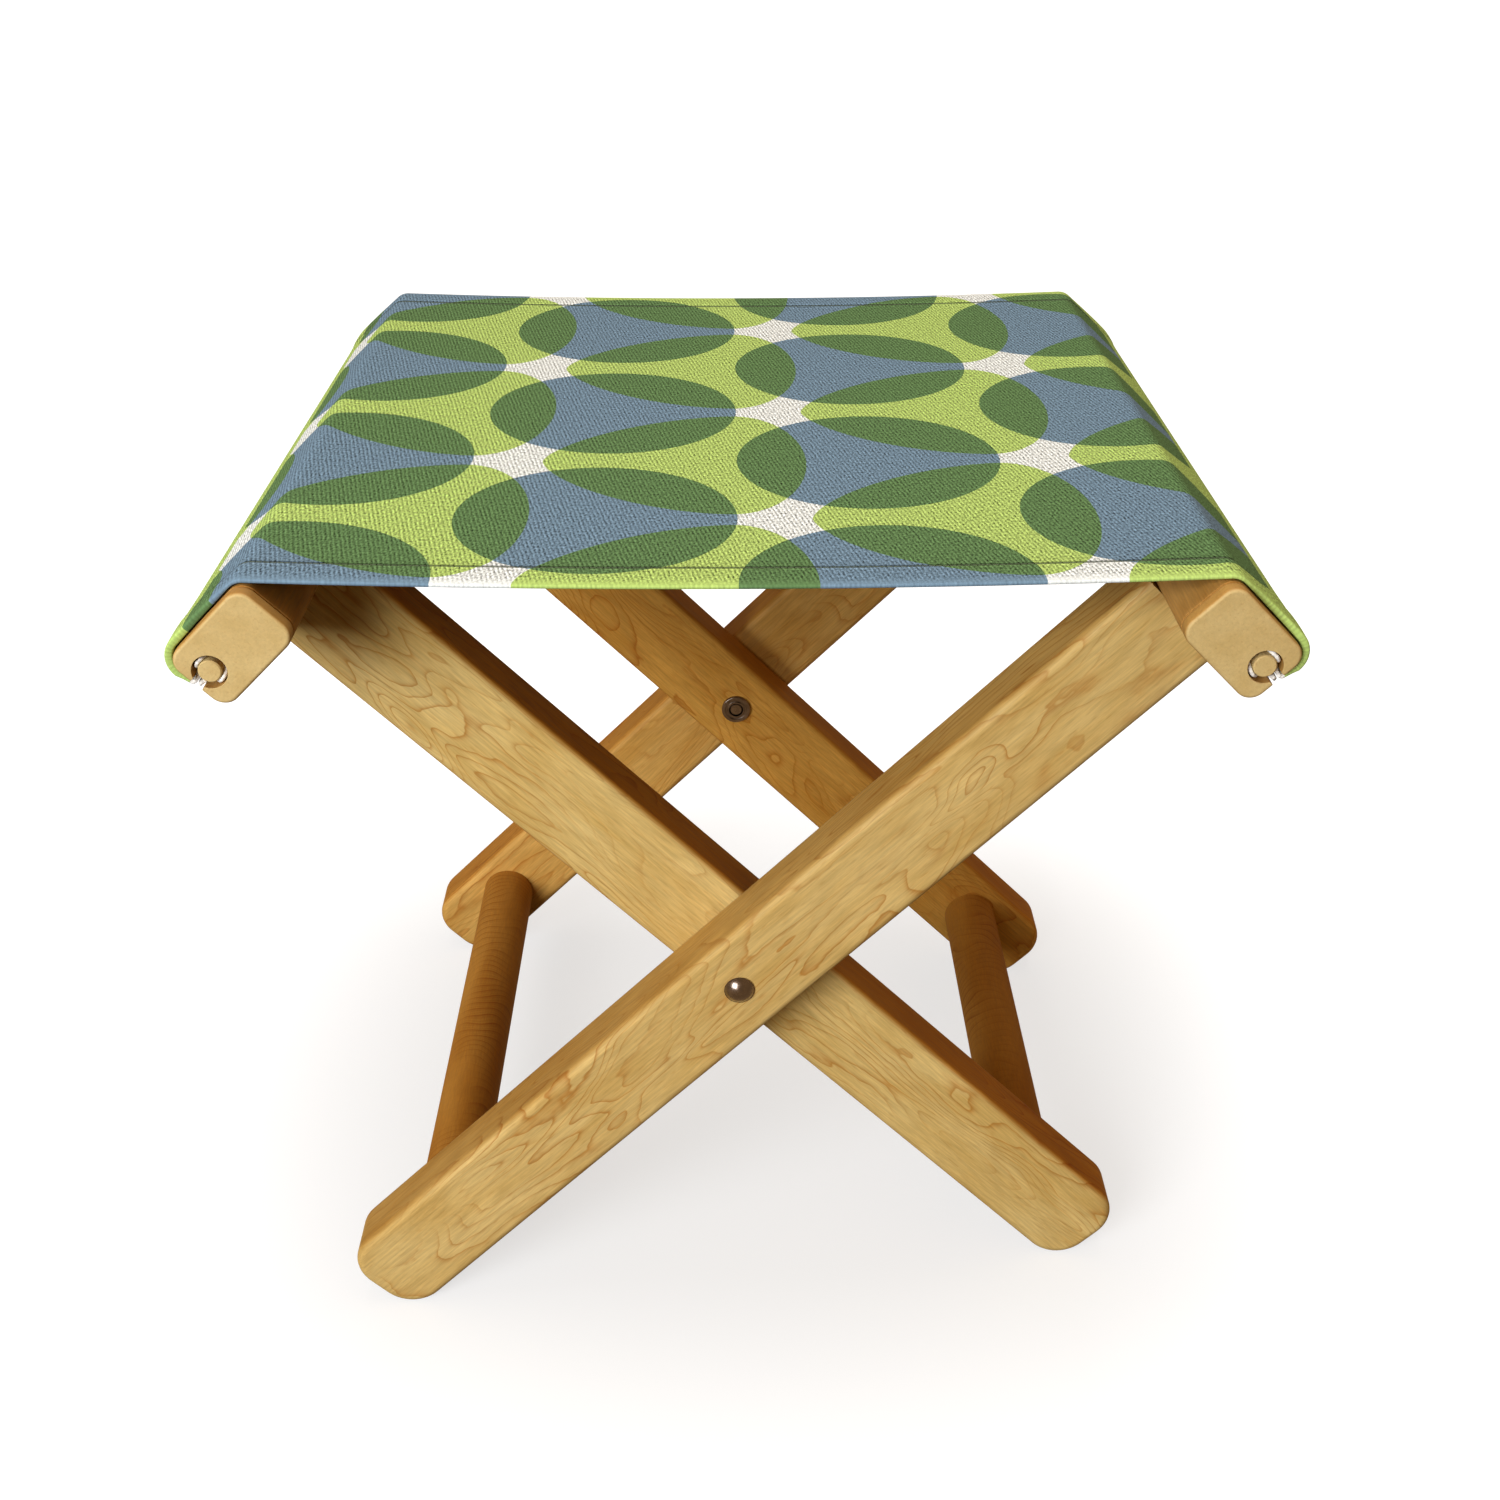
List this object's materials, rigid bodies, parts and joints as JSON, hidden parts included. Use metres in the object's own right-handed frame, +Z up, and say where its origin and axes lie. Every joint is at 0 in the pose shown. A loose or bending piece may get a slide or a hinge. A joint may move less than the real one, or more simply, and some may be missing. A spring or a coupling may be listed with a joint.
{
  "type": "folding camp stool",
  "caption": "Folding X-frame camp stool with rounded wooden legs, rails, round stretchers and a printed cloth sling seat hung on rods in keyhole slots.",
  "frame": {"origin": "on the floor, midway between the front and back rail ends and in the vertical plane of the fold axis", "axes": "+X to the right along the seat's width, +Y towards the back along the fold axis, +Z up"},
  "size_m": [0.4448, 0.45, 0.4156],
  "materials": {
    "leg_wood": "satin clear finish, figured grain along the leg",
    "rail_wood": "satin clear finish",
    "cap_wood": "fine even texture, light tan",
    "rail_pin_wood": "bare",
    "stretcher_wood": "satin clear finish",
    "rod_wood": "bare, light tan",
    "sling_cloth": "woven canvas printed with overlapping ovals in lime, slate blue and green on white",
    "dark_bronze": "dark bronze",
    "dark_bronze_nut": "dark bronze",
    "washer_steel": "plain"
  },
  "bodies": {
    "outer_frame": {"outer_leg_front": "leg_wood", "outer_leg_back": "leg_wood", "right_rail_pin_front_lower": "rail_pin_wood", "right_rail_pin_front_upper": "rail_pin_wood", "right_rail_pin_back_lower": "rail_pin_wood", "right_rail_pin_back_upper": "rail_pin_wood", "outer_stretcher": "stretcher_wood", "right_rail": "rail_wood", "right_rail_cap_front": "cap_wood", "right_rail_cap_back": "cap_wood", "right_sling_rod": "rod_wood", "right_sling_wrap": "sling_cloth", "sling_seat": "sling_cloth", "pivot_bolt_front": "dark_bronze", "pivot_washer_front": "washer_steel", "pivot_nut_front": "dark_bronze_nut", "pivot_bolt_back": "dark_bronze", "pivot_washer_back": "washer_steel", "pivot_nut_back": "dark_bronze_nut"},
    "inner_frame": {"inner_leg_front": "leg_wood", "inner_leg_back": "leg_wood", "left_rail_pin_front_lower": "rail_pin_wood", "left_rail_pin_front_upper": "rail_pin_wood", "left_rail_pin_back_lower": "rail_pin_wood", "left_rail_pin_back_upper": "rail_pin_wood", "inner_stretcher": "stretcher_wood", "left_rail": "rail_wood", "left_rail_cap_front": "cap_wood", "left_rail_cap_back": "cap_wood", "left_sling_rod": "rod_wood", "left_sling_wrap": "sling_cloth"}
  },
  "joints": [
    {"name": "fold", "type": "hinge", "parent": "outer_frame", "child": "inner_frame", "pos_m": [0, 0, 0.19315], "axis": [0, 1, 0], "range_deg": [0, 78], "deforming": ["sling_seat"]}
  ]
}
